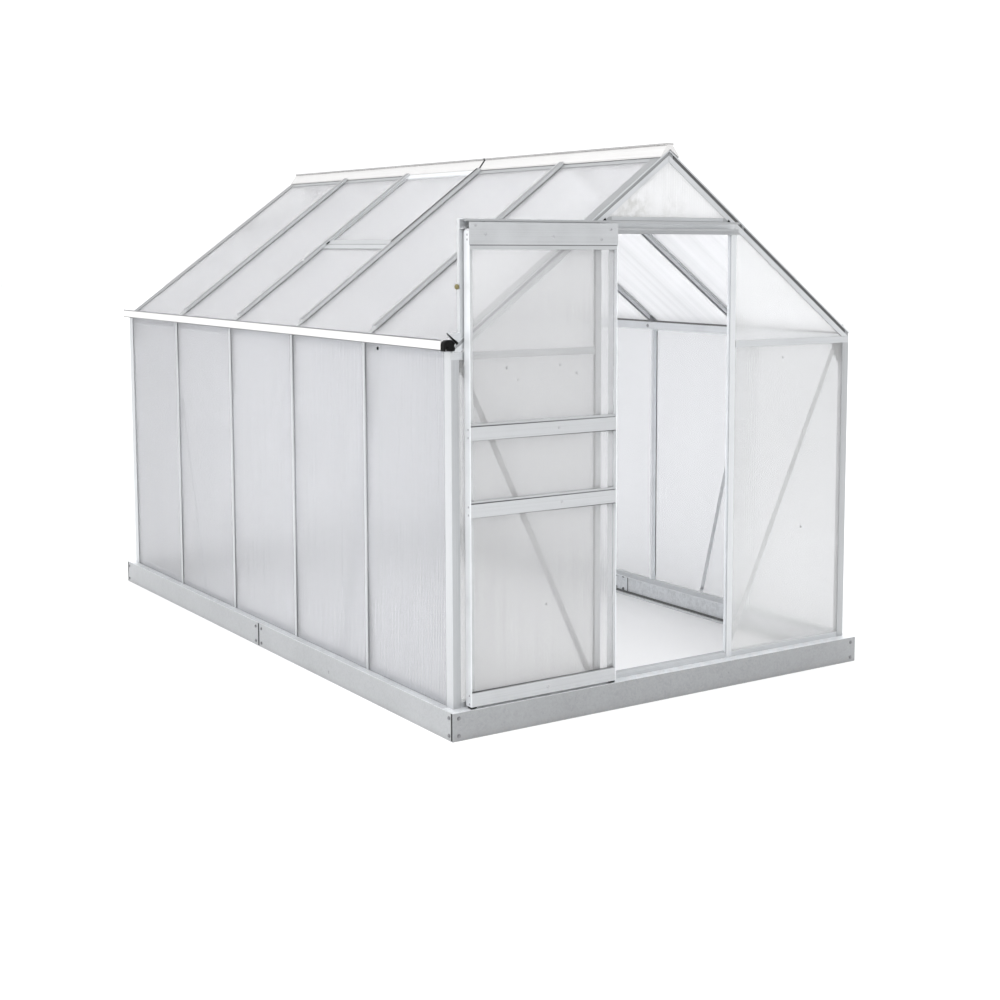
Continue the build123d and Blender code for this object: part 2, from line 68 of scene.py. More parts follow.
# ---------------------------------------------------------------- node helpers
class Mat:
    """A material being built: short calls that add a node and return its output."""

    def __init__(self, name):
        self.mat = bpy.data.materials.new(name)
        self.mat.use_nodes = True
        self.tree = self.mat.node_tree
        self.tree.nodes.clear()
        self.out = self.add("OutputMaterial")
        self.bsdf = self.add("BsdfPrincipled")
        self.tree.links.new(self.bsdf.outputs[0], self.out.inputs["Surface"])
        self.obj = self.add("TexCoord").outputs["Object"]
        sep = self.add("SeparateXYZ")
        self.put(sep.inputs[0], self.obj)
        self.x, self.y, self.z = sep.outputs

    def add(self, kind, **props):
        n = self.tree.nodes.new("ShaderNode" + kind)
        for k, v in props.items():
            setattr(n, k, v)
        return n

    def put(self, sock, v):
        if isinstance(v, bpy.types.NodeSocket):
            self.tree.links.new(v, sock)
        else:
            sock.default_value = v

    def math(self, op, a, b=0.0, clamp=False):
        n = self.add("Math", operation=op, use_clamp=clamp)
        self.put(n.inputs[0], a)
        self.put(n.inputs[1], b)
        return n.outputs[0]

    def vec(self, x, y, z):
        n = self.add("CombineXYZ")
        for s, v in zip(n.inputs, (x, y, z)):
            self.put(s, v)
        return n.outputs[0]

    def noise(self, vector, scale=1.0, detail=2.0, rough=0.5):
        n = self.add("TexNoise")
        self.put(n.inputs["Vector"], vector)
        n.inputs["Scale"].default_value = scale
        n.inputs["Detail"].default_value = detail
        n.inputs["Roughness"].default_value = rough
        return n.outputs["Fac"]

    def cells(self, scale):
        n = self.add("TexVoronoi")
        self.put(n.inputs["Vector"], self.obj)
        n.inputs["Scale"].default_value = scale
        sep = self.add("SeparateColor")
        self.put(sep.inputs[0], n.outputs["Color"])
        return sep.outputs[0]

    def span(self, v, a, b, lo, hi):
        n = self.add("MapRange", interpolation_type="SMOOTHSTEP")
        for s, k in zip(("Value", "From Min", "From Max", "To Min", "To Max"), (v, a, b, lo, hi)):
            self.put(n.inputs[s], k)
        return n.outputs[0]

    def ramp(self, fac, stops):
        n = self.add("ValToRGB")
        e = n.color_ramp.elements
        while len(e) < len(stops):
            e.new(0.5)
        for k, (p, c) in zip(e, stops):
            k.position, k.color = p, (*c, 1.0)
        self.put(n.inputs[0], fac)
        return n.outputs[0]

    def mix(self, fac, a, b):
        n = self.add("Mix", data_type="RGBA")
        self.put(n.inputs["Factor"], fac)
        rgba = [s for s in n.inputs if s.type == "RGBA"]
        for s, c in zip(rgba, (a, b)):
            self.put(s, c if isinstance(c, bpy.types.NodeSocket) else (*c, 1.0))
        return [s for s in n.outputs if s.type == "RGBA"][0]

    def bump(self, height, strength, distance):
        n = self.add("Bump")
        n.inputs["Strength"].default_value = strength
        n.inputs["Distance"].default_value = distance
        self.put(n.inputs["Height"], height)
        self.put(self.bsdf.inputs["Normal"], n.outputs[0])

    def axes(self, kind):
        """(along the bar or rib, across, depth) for the way a piece runs."""
        if kind == "x":
            return self.x, self.z, self.y
        if kind == "y":
            return self.y, self.z, self.x
        if kind == "z":
            return self.z, self.y, self.x
        ax = self.math("ABSOLUTE", self.x)
        along = self.math("SUBTRACT", self.math("MULTIPLY", ax, COS), self.math("MULTIPLY", self.z, SIN))
        deep = self.math("ADD", self.math("MULTIPLY", ax, SIN), self.math("MULTIPLY", self.z, COS))
        return along, self.y, deep


def grey(v, cool=0.02):
    return tuple(min(1.0, c) for c in (v * (1 - cool), v, v * (1 + cool)))


# ---------------------------------------------------------------- materials
def out_z(m):
    return m.z


def out_x(m):
    return m.math("ABSOLUTE", m.x)


def out_y(m):
    return m.math("ABSOLUTE", m.y)


def out_roof(m):
    return m.axes("slope")[2]


def fore(m):
    return m.math("MULTIPLY", m.y, -1.0)


def low_down(m):
    return m.math("SUBTRACT", 1.0, m.z)


def near_ridge(m):
    return m.math("SUBTRACT", 1.0, m.math("ABSOLUTE", m.x))


def out_flange(m):
    # distance out along Y at two gable rafters, front right and back left
    return m.math("MULTIPLY", m.math("ABSOLUTE", m.y), m.math("LESS_THAN", m.math("MULTIPLY", m.x, m.y), 0.0))


def aluminium(name, kind, tone=0.80, rough=0.40, cool=0.02, metal=0.78, zones=()):
    # mill-finish extrusion: die lines along the bar, dull handling marks, a fine grain;
    # zones = (measure, from, to, tone) are painted light and shade: they set faces or stretches lighter or darker than
    # the rest, such as a bright outer cap, for how light falls there
    m = Mat(name)
    along, a, b = m.axes(kind)
    scaled = lambda k, q: m.vec(m.math("MULTIPLY", along, k), m.math("MULTIPLY", a, q), m.math("MULTIPLY", b, q))
    lines = m.noise(scaled(1.3, 260.0), 1.0, 3.0, 0.6)
    fine = m.noise(scaled(9.0, 1100.0), 1.0, 2.0)
    blotch = m.noise(m.obj, 7.0, 5.0, 0.62)
    grain = m.noise(m.obj, 420.0, 2.0)
    v = m.math("ADD", m.math("MULTIPLY", lines, 0.42), m.math("MULTIPLY", blotch, 0.38))
    v = m.math("ADD", v, m.math("MULTIPLY", grain, 0.20))
    shades = lambda t: m.ramp(v, [(0.30, grey(t * 0.86, cool)), (0.50, grey(t, cool)), (0.72, grey(t * 1.07, cool))])
    col = shades(tone)
    for measure, lo, hi, t in zones:
        col = m.mix(m.span(measure(m), lo, hi, 0.0, 1.0), col, shades(t))
    m.put(m.bsdf.inputs["Base Color"], col)
    m.bsdf.inputs["Metallic"].default_value = metal
    m.put(m.bsdf.inputs["Roughness"], m.span(blotch, 0.3, 0.7, rough - 0.07, rough + 0.10))
    m.bump(m.math("ADD", lines, m.math("MULTIPLY", fine, 0.5)), 0.22, 0.0004)
    return m.mat


def galvanised(name, kind, tone=0.55, metal=0.55, grime=0.42, ledge_light=None):
    # ledge = painted light: a lighter tone for the top flange, as if lit from above
    # ledge = tone of a top flange that has stayed cleaner
    m = Mat(name)
    along, a, b = m.axes(kind)
    big, small = m.cells(55.0), m.cells(150.0)
    mottle = m.noise(m.obj, 300.0, 3.0, 0.7)
    cloud = m.noise(m.obj, 5.0, 4.0, 0.6)
    scratch = m.noise(m.vec(m.math("MULTIPLY", along, 5.0), m.math("MULTIPLY", a, 700.0), m.math("MULTIPLY", b, 700.0)), 1.0, 2.0)
    v = m.math("ADD", m.math("MULTIPLY", big, 0.20), m.math("MULTIPLY", small, 0.14))
    v = m.math("ADD", v, m.math("MULTIPLY", mottle, 0.38))
    v = m.math("ADD", v, m.math("MULTIPLY", cloud, 0.28))
    shades = lambda t: m.ramp(v, [(0.28, grey(t * 0.84)), (0.50, grey(t)), (0.74, grey(t * 1.12))])
    col = shades(tone)
    if ledge_light:
        col = m.mix(m.span(m.z, 0.0988, 0.0995, 0.0, 1.0), col, shades(ledge_light))
    # darker towards the foot, in mottled patches
    low = m.span(m.math("ADD", m.z, m.math("MULTIPLY", cloud, 0.02)), 0.008, 0.034, grime, 0.0)
    col = m.mix(m.math("MULTIPLY", low, m.span(mottle, 0.35, 0.7, 0.3, 1.0)), col, (0.20, 0.195, 0.18))
    m.put(m.bsdf.inputs["Base Color"], col)
    m.bsdf.inputs["Metallic"].default_value = metal
    m.put(m.bsdf.inputs["Roughness"], m.span(big, 0.0, 1.0, 0.40, 0.60))
    m.bump(m.math("ADD", m.math("MULTIPLY", scratch, 0.6), mottle), 0.12, 0.0005)
    return m.mat


RIB = 0.011   # spacing of the ribs between the sheets' two skins


def twinwall(name, kind, haze=0.30, rough=0.20, tint=(0.945, 0.95, 0.965), milk=0.10, spots=(), below_tie_tone=None, back_shade=1.0, foot_tone=0.14, streaks=(60.0, 1.0)):
    # twin-wall sheet: two skins and close ribs that scatter light and blur what lies behind
    m = Mat(name)
    if kind == "side":
        v, u = m.z, m.y
    elif kind == "roof":
        v, u, _ = m.axes("slope")
    else:
        v, u = m.z, m.x
    rib = m.math("SINE", m.math("MULTIPLY", u, 2 * math.pi / RIB))
    line = m.math("POWER", m.math("ABSOLUTE", m.math("SINE", m.math("MULTIPLY", u, math.pi / RIB))), 7.0)
    streak = m.noise(m.vec(m.math("MULTIPLY", u, streaks[0]), m.math("MULTIPLY", v, 0.8), 0.0), 1.0, 2.0, 0.6)
    cloud = m.noise(m.obj, 1.7, 2.0, 0.55)
    dust = m.noise(m.obj, 260.0, 2.0, 0.7)
    shade = m.math("ADD", m.math("MULTIPLY", streak, 0.50), m.math("MULTIPLY", cloud, 0.28))
    shade = m.math("ADD", shade, m.math("MULTIPLY", dust, 0.22))
    k = streaks[1]
    col = m.ramp(shade, [(0.30, tuple(c * (1 - 0.05 * k) for c in tint)), (0.50, tint),
                         (0.72, tuple(min(1.0, c * (1 + 0.035 * k)) for c in tint))])
    col = m.mix(m.math("MULTIPLY", line, 0.20), col, tuple(c * 0.86 for c in tint))
    if below_tie_tone:
        # sheets under the eave tie set darker than those over it, most near the tie and least at their foot
        dull = m.mix(m.span(m.z, 0.20, 1.00, 0.0, 1.0), tuple(c * below_tie_tone[0] for c in tint), tuple(c * below_tie_tone[1] for c in tint))
        col = m.mix(m.span(m.z, 1.309, 1.312, 0.85, 0.0), col, dull)
    if back_shade < 1.0:
        # painted shade: the side sheets darker towards the back, where less light reaches the wall
        col = m.mix(m.span(m.y, -0.2, 1.4, 0.0, 0.8), col, tuple(c * back_shade for c in tint))
    # darker and warmer towards the sheets' foot
    low = m.span(m.math("ADD", m.z, m.math("MULTIPLY", cloud, 0.10)), 0.13, 0.36, foot_tone, 0.0)
    col = m.mix(m.math("MULTIPLY", low, m.span(dust, 0.3, 0.7, 0.4, 1.0)), col, (0.66, 0.65, 0.61))
    for centre, radius, much in spots:
        n = m.add("VectorMath", operation="DISTANCE")
        m.put(n.inputs[0], m.obj)
        n.inputs[1].default_value = centre
        near = m.span(n.outputs["Value"], radius * 0.15, radius, 1.0, 0.0)
        patch = m.span(m.noise(m.obj, 38.0, 2.0, 0.5), 0.34, 0.70, 0.0, much)
        col = m.mix(m.math("MULTIPLY", near, patch), col, (0.42, 0.42, 0.36))
    m.put(m.bsdf.inputs["Base Color"], col)
    m.bsdf.inputs["Transmission Weight"].default_value = 1.0 - milk
    m.bsdf.inputs["IOR"].default_value = 1.32
    m.put(m.bsdf.inputs["Roughness"], m.span(cloud, 0.3, 0.7, rough, rough + 0.06))
    m.bump(m.math("MULTIPLY", rib, 0.5), 1.0, 0.00035)
    # the share of light that the ribs scatter on its way through
    glow = m.add("BsdfTranslucent")
    m.put(glow.inputs["Color"], col)
    both = m.add("MixShader")
    both.inputs[0].default_value = haze
    m.put(both.inputs[1], m.bsdf.outputs[0])
    m.put(both.inputs[2], glow.outputs[0])
    m.put(m.out.inputs["Surface"], both.outputs[0])
    return m.mat


def black_moulding(name, dusty=0.25, lo=0.008, hi=0.022, gloss=0.2):
    # moulded plastic and rubber: fine grain, a little pale dust
    m = Mat(name)
    grain = m.noise(m.obj, 900.0, 2.0)
    dust = m.noise(m.obj, 45.0, 4.0, 0.65)
    col = m.ramp(grain, [(0.3, grey(lo, 0.03)), (0.7, grey(hi, 0.03))])
    col = m.mix(m.span(dust, 0.52, 0.78, 0.0, dusty), col, (0.16, 0.155, 0.15))
    m.put(m.bsdf.inputs["Base Color"], col)
    m.put(m.bsdf.inputs["Roughness"], m.span(dust, 0.3, 0.7, 0.42, 0.66))
    m.bsdf.inputs["Specular IOR Level"].default_value = gloss
    m.bump(grain, 0.25, 0.0003)
    return m.mat


def fitting(name, lo, hi, metal=0.8, rough=0.35):
    # turned or pressed small metal part
    m = Mat(name)
    n1, n2 = m.noise(m.obj, 700.0, 3.0), m.noise(m.obj, 120.0, 4.0)
    col = m.ramp(m.math("ADD", m.math("MULTIPLY", n1, 0.5), m.math("MULTIPLY", n2, 0.5)), [(0.32, lo), (0.68, hi)])
    m.put(m.bsdf.inputs["Base Color"], col)
    m.bsdf.inputs["Metallic"].default_value = metal
    m.put(m.bsdf.inputs["Roughness"], m.span(n2, 0.3, 0.7, rough - 0.08, rough + 0.14))
    m.bump(n1, 0.15, 0.0002)
    return m.mat


TOP = RIDGE * COS   # measure of the outer roof plane, square to the slope
# painted light and shade: one mill-finish aluminium in copies of different tone, each part set lighter or darker for
# the light that falls on it; the eave beams, right studs, jambs and stiles are lightened against their shade, the
# header, posts and rafters darkened
ALU_X = aluminium("aluminium_across", "x", 0.55)
ALU_HEAD = aluminium("aluminium_header", "x", 0.40)
ALU_SILL = aluminium("aluminium_header_sill", "x", 0.54)
# painted light and shade: the track's slot lightened against its shade, its front faces set darker
ALU_TRACK = aluminium("aluminium_track", "x", 0.72, zones=[(fore, 1.5808, 1.5822, 0.42)])
ALU_PLATE = aluminium("aluminium_plate", "x", 0.50)
ALU_DOOR = aluminium("aluminium_door_rail", "x", 0.50)
ALU_Y = aluminium("aluminium_lengthwise", "y", 0.62)
ALU_EAVE = aluminium("aluminium_eave", "y", 0.86, metal=0.5)
ALU_VSILL = aluminium("aluminium_vent_sill", "y", 0.48)
ALU_WHITE = aluminium("aluminium_gutter", "y", 0.745, 0.46, -0.012, 0.45)
# painted shade: the ridge cap's top bead set grey
ALU_RIDGE = aluminium("aluminium_ridge", "y", 0.62, 0.46, -0.012, 0.45, [(out_z, 2.0438, 2.0446, 0.42)])
# painted light and shade: the left studs darker towards the foot and the head, and the outer faces of studs, posts,
# jambs and strut set lighter or darker than the rest
ALU_Z = aluminium("aluminium_upright", "z", 0.76, zones=[(low_down, 0.40, 0.75, 0.34), (out_z, 0.98, 1.25, 0.34),
                  (out_x, 0.9214, 0.9219, 0.54)])
ALU_ZR = aluminium("aluminium_upright_right", "z", 0.90, metal=0.4, zones=[(out_x, 0.9194, 0.9200, 0.54)])
ALU_POST = aluminium("aluminium_post", "z", 0.43, zones=[(out_x, 0.9194, 0.9200, 0.58)])
ALU_JAMB = aluminium("aluminium_jamb", "z", 0.90, metal=0.35, zones=[(out_y, 1.5534, 1.5541, 0.58)])
ALU_STILE = aluminium("aluminium_stile", "z", 0.76, metal=0.5)
ALU_STRUT = aluminium("aluminium_strut", "z", 0.50, zones=[(out_x, 0.8864, 0.8869, 0.62)])
# painted light and shade: the rafters' cap tops set darker and their sides lighter, the stems under the sheets dark,
# the right rafters' stems lighter than their inner edge, and the eave ends toned apart
ALU_S = aluminium("aluminium_rafter", "slope", 0.20, metal=0.30, zones=[(out_roof, TOP - 0.0022, TOP - 0.0016, 0.56),
                  (out_roof, TOP + 0.0096, TOP + 0.0098, 0.24), (out_x, 0.8783, 0.8787, 0.36)])
ALU_SR = aluminium("aluminium_rafter_right", "slope", 0.24, metal=0.55, zones=[(out_roof, TOP - 0.0240, TOP - 0.0236, 0.74),
                   (out_roof, TOP - 0.0022, TOP - 0.0016, 0.56), (out_roof, TOP + 0.0096, TOP + 0.0098, 0.24),
                   (out_x, 0.8783, 0.8787, 0.36)])
# painted light and shade: the gable rafters' front faces lighter, their top flanges darker, and the flange on the front
# right and back left rafters lighter
ALU_GABLE = aluminium("aluminium_gable", "slope", 0.34, zones=[(out_y, 1.5540, 1.5550, 0.60),
                      (out_roof, TOP - 0.0008, TOP - 0.0004, 0.28), (out_flange, 1.5574, 1.5578, 0.62)])
# painted highlight: the vent frame lighter at its top end by the ridge
ALU_VENT = aluminium("aluminium_vent", "slope", 0.44, zones=[(near_ridge, 0.9345, 0.9355, 0.72)])
# painted light and shade: the same galvanised steel in copies of different tone, the base's inside and brackets
# lightened against their shade, the front and back set darker than the left side
ZINC_X = galvanised("zinc_across", "x", 0.34, ledge_light=0.78)
ZINC_Y = galvanised("zinc_lengthwise", "y", 0.43, ledge_light=0.70)
ZINC_R = galvanised("zinc_right", "y", 0.86, 0.20, 0.55)
STRAP = galvanised("zinc_strap", "z", 0.62)
GUSSET = galvanised("zinc_gusset", "z", 0.36)
# painted light and shade: the same twin-wall sheet in copies whose tints differ, each wall set lighter or darker for
# the light it gets; the right and back walls, seen from inside, are the darkest
SHEET_SIDE = twinwall("twinwall_side", "side", 0.18, tint=(0.875, 0.878, 0.895), back_shade=0.88, foot_tone=0.03, streaks=(60.0, 0.6))
SHEET_RIGHT = twinwall("twinwall_right", "side", 0.18, tint=(0.75, 0.755, 0.77))
SHEET_BACK = twinwall("twinwall_back", "end", 0.34, tint=(0.74, 0.742, 0.755))
SHEET_ROOF = twinwall("twinwall_roof", "roof", 0.16, tint=(0.88, 0.88, 0.89))
SHEET_ROOF_R = twinwall("twinwall_roof_right", "roof", 0.42, tint=(0.90, 0.903, 0.915), streaks=(24.0, 2.6))
SHEET_END = twinwall("twinwall_end", "end", 0.12, 0.14, tint=(1.0, 1.0, 0.995), milk=0.14, below_tie_tone=(0.98, 0.90), foot_tone=0.05)
SHEET_GABLE = twinwall("twinwall_gable", "end", 0.46, tint=(0.99, 0.99, 0.99), milk=0.50,
                       spots=[((-0.165, -1.552, 1.805), 0.13, 0.30), ((0.02, -1.552, 1.79), 0.10, 0.14)])
SHEET_DOOR = twinwall("twinwall_door", "end", 0.10, 0.14, tint=(0.955, 0.955, 0.957), milk=0.10)
BLACK = black_moulding("black_plastic", 0.02, 0.003, 0.008, 0.08)
RUBBER = black_moulding("black_rubber", 0.30)
SEAL = fitting("grey_rubber", (0.045, 0.045, 0.047), (0.10, 0.10, 0.10), 0.0, 0.7)
SEALANT_SHADE = fitting("grey_sealant_shade", (0.12, 0.12, 0.12), (0.22, 0.22, 0.215), 0.0, 0.75)
BOLT = fitting("bolt_zinc", (0.34, 0.34, 0.35), (0.60, 0.60, 0.62))
BOLT_DARK = fitting("bolt_weathered", (0.14, 0.14, 0.145), (0.32, 0.32, 0.33), 0.6, 0.45)
SCREW = fitting("screw_steel", (0.30, 0.30, 0.31), (0.50, 0.50, 0.52))
RIVET = fitting("rivet_bright", (0.86, 0.86, 0.87), (0.97, 0.97, 0.98), 0.2, 0.45)
RIVET_DULL = fitting("rivet_dull", (0.30, 0.30, 0.31), (0.46, 0.46, 0.47), 0.4, 0.5)
CLOSURE_SHADE = aluminium("aluminium_closure_shade", "y", 0.36)
GUTTER_EDGE_SHADE = aluminium("aluminium_gutter_edge_shade", "y", 0.20)
ALU_BEAD_LIGHT = aluminium("aluminium_bead_light", "slope", 0.55, metal=0.4)
OLIVE = fitting("knob_olive", (0.10, 0.085, 0.03), (0.22, 0.19, 0.08), 0.3, 0.4)
GRIME = fitting("grime", (0.16, 0.16, 0.165), (0.36, 0.36, 0.37), 0.0, 0.8)
SCUFF = fitting("scuff", (0.40, 0.40, 0.42), (0.58, 0.58, 0.60), 0.2, 0.7)

FINISH = {
    ALU_X: "sill_front sill_back eave_ties",
    ALU_HEAD: "headers",
    ALU_TRACK: "door_track",
    ALU_PLATE: "door_hanger_plate",
    ALU_DOOR: "door_rails",
    ALU_Y: "sill_left sill_right ridge_beam",
    ALU_EAVE: "eave_beams",
    ALU_VSILL: "vent_sill",
    ALU_WHITE: "gutters",
    ALU_RIDGE: "ridge_caps",
    ALU_Z: "left_studs",
    ALU_ZR: "right_studs",
    ALU_POST: "corner_posts",
    ALU_JAMB: "door_jambs back_studs",
    ALU_STILE: "door_stiles",
    ALU_STRUT: "track_strut",
    ALU_S: "left_rafters",
    ALU_SR: "right_rafters",
    ALU_GABLE: "gable_rafters",
    ALU_VENT: "vent_frame",
    ZINC_X: "base_front base_back",
    ZINC_Y: "base_left",
    ZINC_R: "base_right base_brackets",
    STRAP: "end_wall_braces side_wall_braces",
    GUSSET: "eave_gussets",
    SHEET_SIDE: "left_wall_glazing",
    SHEET_RIGHT: "right_wall_glazing",
    SHEET_BACK: "back_wall_glazing",
    SHEET_ROOF: "left_roof_glazing vent_pane",
    SHEET_ROOF_R: "right_roof_glazing",
    SHEET_END: "front_wall_glazing",
    SHEET_GABLE: "gable_glazing",
    SHEET_DOOR: "door_panes",
    BLACK: "gutter_end_cap door_guide_shoes door_rollers",
}
for mat, names in FINISH.items():
    for name in names.split():
        for s in nodes[name].material_slots:
            s.material = mat


# ---------------------------------------------------------------- mesh helpers
def basis(normal, up=None):
    n = Vector(normal).normalized()
    ref = Vector(up) if up else (Vector((0, 0, 1)) if abs(n.z) < 0.9 else Vector((0, 1, 0)))
    ex = ref.cross(n).normalized()
    return ex, n.cross(ex).normalized(), n


def lathe(bm, pos, normal, profile, segs=20, twist=0.0):
    # closed turned shape: profile of (radius, height) from the seat to the crown
    ex, ey, n = basis(normal)
    pos = Vector(pos)
    rings = []
    for r, h in profile:
        ring = [bm.verts.new(pos + n * h + (ex * math.cos(t) + ey * math.sin(t)) * r)
                for t in (twist + 2 * math.pi * k / segs for k in range(segs))]
        rings.append(ring)
    for a, b in zip(rings, rings[1:]):
        for k in range(segs):
            bm.faces.new((a[k], a[(k + 1) % segs], b[(k + 1) % segs], b[k]))
    bm.faces.new(list(reversed(rings[0])))
    bm.faces.new(rings[-1])


def hex_bolt(bm, pos, normal, size=0.010, twist=0.2):
    # plain washer, hexagon head with a turned chamfer
    r = size / 2 / math.cos(math.pi / 6)
    lathe(bm, pos, normal, [(size * 0.80, 0.0), (size * 0.80, 0.0009), (size * 0.76, 0.0012)], 24)
    lathe(bm, Vector(pos) + Vector(normal).normalized() * 0.0012, normal,
          [(r, 0.0), (r, size * 0.28), (r * 0.86, size * 0.36), (r * 0.80, size * 0.36)], 6, twist)


def pan_head(bm, pos, normal, r=0.0042):
    # domed head with a round drive recess
    lathe(bm, pos, normal, [(r, 0.0), (r, r * 0.18), (r * 0.90, r * 0.42), (r * 0.66, r * 0.58),
                            (r * 0.40, r * 0.64), (r * 0.34, r * 0.64), (r * 0.28, r * 0.36)], 18)


def prism(bm, pts, push):
    # flat outline pushed straight through to a solid
    push = Vector(push)
    a = [bm.verts.new(Vector(p)) for p in pts]
    b = [bm.verts.new(Vector(p) + push) for p in pts]
    n = len(a)
    for k in range(n):
        bm.faces.new((a[k], a[(k + 1) % n], b[(k + 1) % n], b[k]))
    bm.faces.new(list(reversed(a)))
    bm.faces.new(b)


def bar(bm, lo, hi):
    (x0, y0, z0), (x1, y1, z1) = lo, hi
    prism(bm, [(x0, y0, z0), (x1, y0, z0), (x1, y1, z0), (x0, y1, z0)], (0, 0, z1 - z0))


def fleck(bm, rng, pos, normal, length, width, turn):
    # small uneven crust lying on a surface
    ex, ey, n = basis(normal)
    c, s = math.cos(turn), math.sin(turn)
    pts = []
    for k in range(11):
        t = 2 * math.pi * k / 11
        q = rng.uniform(0.72, 1.2)
        a, b = math.cos(t) * length / 2 * q, math.sin(t) * width / 2 * q
        pts.append(Vector(pos) + ex * (a * c - b * s) + ey * (a * s + b * c))
    prism(bm, pts, n * 0.0004)


def piece(name, body, mat, build, bevel=0.0):
    bm = bmesh.new()
    build(bm)
    bmesh.ops.recalc_face_normals(bm, faces=bm.faces)
    me = bpy.data.meshes.new(name)
    bm.to_mesh(me)
    bm.free()
    o = bpy.data.objects.new(name, me)
    bpy.context.scene.collection.objects.link(o)
    me.materials.append(mat)
    if bevel:
        b = o.modifiers.new("edges", "BEVEL")
        b.width, b.segments, b.limit_method = bevel, 2, "ANGLE"
    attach(o, body)
    return o


# ---------------------------------------------------------------- base fixings
def base_bolts(bm):
    for sx in (-1, 1):
        for z in (0.018, 0.080):
            for y in (-0.028, 0.028):
                hex_bolt(bm, (sx * 0.950, y, z), (sx, 0, 0), 0.009)
            for sy in (-1, 1):
                hex_bolt(bm, (sx * 0.950, sy * 1.577, z), (sx, 0, 0), 0.009)
                hex_bolt(bm, (sx * 0.925, sy * 1.600, z), (0, sy, 0), 0.009)


piece("base_bolts", "frame", BOLT_DARK, base_bolts)


def base_nuts(bm):
    for sx in (-1, 1):
        for z in (0.018, 0.080):
            for y in (-0.028, 0.028):
                hex_bolt(bm, (sx * 0.946, y, z), (-sx, 0, 0), 0.010)
            for sy in (-1, 1):
                hex_bolt(bm, (sx * 0.946, sy * 1.577, z), (-sx, 0, 0), 0.010)
                hex_bolt(bm, (sx * 0.925, sy * 1.596, z), (0, -sy, 0), 0.010)


piece("base_nuts", "frame", BOLT_DARK, base_nuts)


def base_seams(bm):
    # sealant in the joint at mid-length and in the joint beside each corner
    for sx in (-1, 1):
        for y, half in ((0.0, 0.0058), (-1.5942, 0.0046), (1.5942, 0.0046)):
            bar(bm, (sx * 0.9486, y - half, 0.003), (sx * 0.9505, y + half, 0.0985))


piece("base_seams", "frame", RUBBER, base_seams, 0.0004)


def foot_shadow_beads(bm):
    # sealant bead on the foot flange against the skirt's web, and down the splice plates' edges; painted shade: the
    # bead on the flange stands in for the shade in the flange's channel
    for s in (-1, 1):
        pts = [(0.9478, 0.0022), (0.9425, 0.0022), (0.9430, 0.0060), (0.9445, 0.0095), (0.9478, 0.0114)]
        prism(bm, [(s * x, -1.570, z) for x, z in pts], (0, 3.140, 0))
        ends = [(1.5978, 0.0022), (1.5925, 0.0022), (1.5930, 0.0060), (1.5945, 0.0095), (1.5978, 0.0114)]
        prism(bm, [(-0.940, s * y, z) for y, z in ends], (1.880, 0, 0))
        for t in (-1, 1):
            edge = [(0.9478, 0.0602), (0.9460, 0.0602), (0.9464, 0.0634), (0.9478, 0.0646)]
            prism(bm, [(s * x, t * y, 0.0125) for x, y in edge], (0, 0, 0.0835))


piece("foot_shadow_beads", "frame", SEALANT_SHADE, foot_shadow_beads)


def stud_gaskets(bm):
    # glazing rubber on the sheets' inner faces beside each side stud
    for sx in (-1, 1):
        for y in STUD_Y:
            for t in (-1, 1):
                pts = [(0.9156, 0.0103), (0.9156, 0.0134), (0.9146, 0.0138), (0.9136, 0.0130), (0.9136, 0.0103)]
                prism(bm, [(sx * x, y + t * v, 0.140) for x, v in pts], (0, 0, 1.148))


piece("stud_gaskets", "frame", SEAL, stud_gaskets)


def frame_bolts(bm):
    # heads on the braces' ends, and on the eave beams beside the studs
    for sx in (-1, 1):
        for sy in (-1, 1):
            for x, z in ((0.858, 1.256), (0.342, 0.156)):
                hex_bolt(bm, (sx * x, sy * 1.526, z), (0, -sy, 0), 0.010)
            for y, z in ((1.005, 1.270), (0.693, 0.146)):
                hex_bolt(bm, (sx * 0.892, sy * y, z), (-sx, 0, 0), 0.010)
            hex_bolt(bm, (sx * 0.900, sy * 1.528, 1.284), (0, -sy, 0), 0.010)
        for y in STUD_Y:
            hex_bolt(bm, (sx * 0.891, y + 0.030, 1.314), (-sx, 0, 0), 0.010)


piece("frame_bolts", "frame", BOLT, frame_bolts)


# ---------------------------------------------------------------- gable seals
def gable_seals(bm):
    # rubber in the groove under the roof flange, with a break beside the header
    def run(sx, sy, x0, x1):
        y0, y1 = sy * 1.5530, sy * 1.5566
        pts = [(sx * x0, y0, roof_z(x0, 0.0063)), (sx * x1, y0, roof_z(x1, 0.0063)),
               (sx * x1, y0, roof_z(x1, 0.0166)), (sx * x0, y0, roof_z(x0, 0.0166))]
        prism(bm, pts, (0, y1 - y0, 0))
    for sx, sy in ((1, -1), (-1, 1)):
        run(sx, sy, 0.022, 0.352)
        run(sx, sy, 0.366, 0.900)


piece("gable_seals", "frame", SEAL, gable_seals)


def header_corners(bm):
    # dark plugs where the header's sill bar stops short of the rafters
    for sy in (-1, 1):
        for sx in (-1, 1):
            y0 = sy * 1.5562
            pts = [(sx * 0.277, y0, 1.764), (sx * 0.306, y0, 1.744), (sx * 0.313, y0, 1.751), (sx * 0.286, y0, 1.778)]
            prism(bm, pts, (0, sy * 0.0012, 0))


piece("header_corners", "frame", BLACK, header_corners)


# the front header's lower ledges lie behind the door track
piece("header_bars", "frame", ALU_SILL, lambda bm: [
    bar(bm, (-0.258, -1.5572, 1.770), (0.258, -1.556, 1.782)),
    bar(bm, (-0.258, 1.556, 1.770), (0.258, 1.5585, 1.782)),
    bar(bm, (-0.300, 1.556, 1.750), (0.300, 1.558, 1.754)),
    bar(bm, (-0.325, 1.556, 1.728), (0.325, 1.558, 1.732)),
], 0.0005)


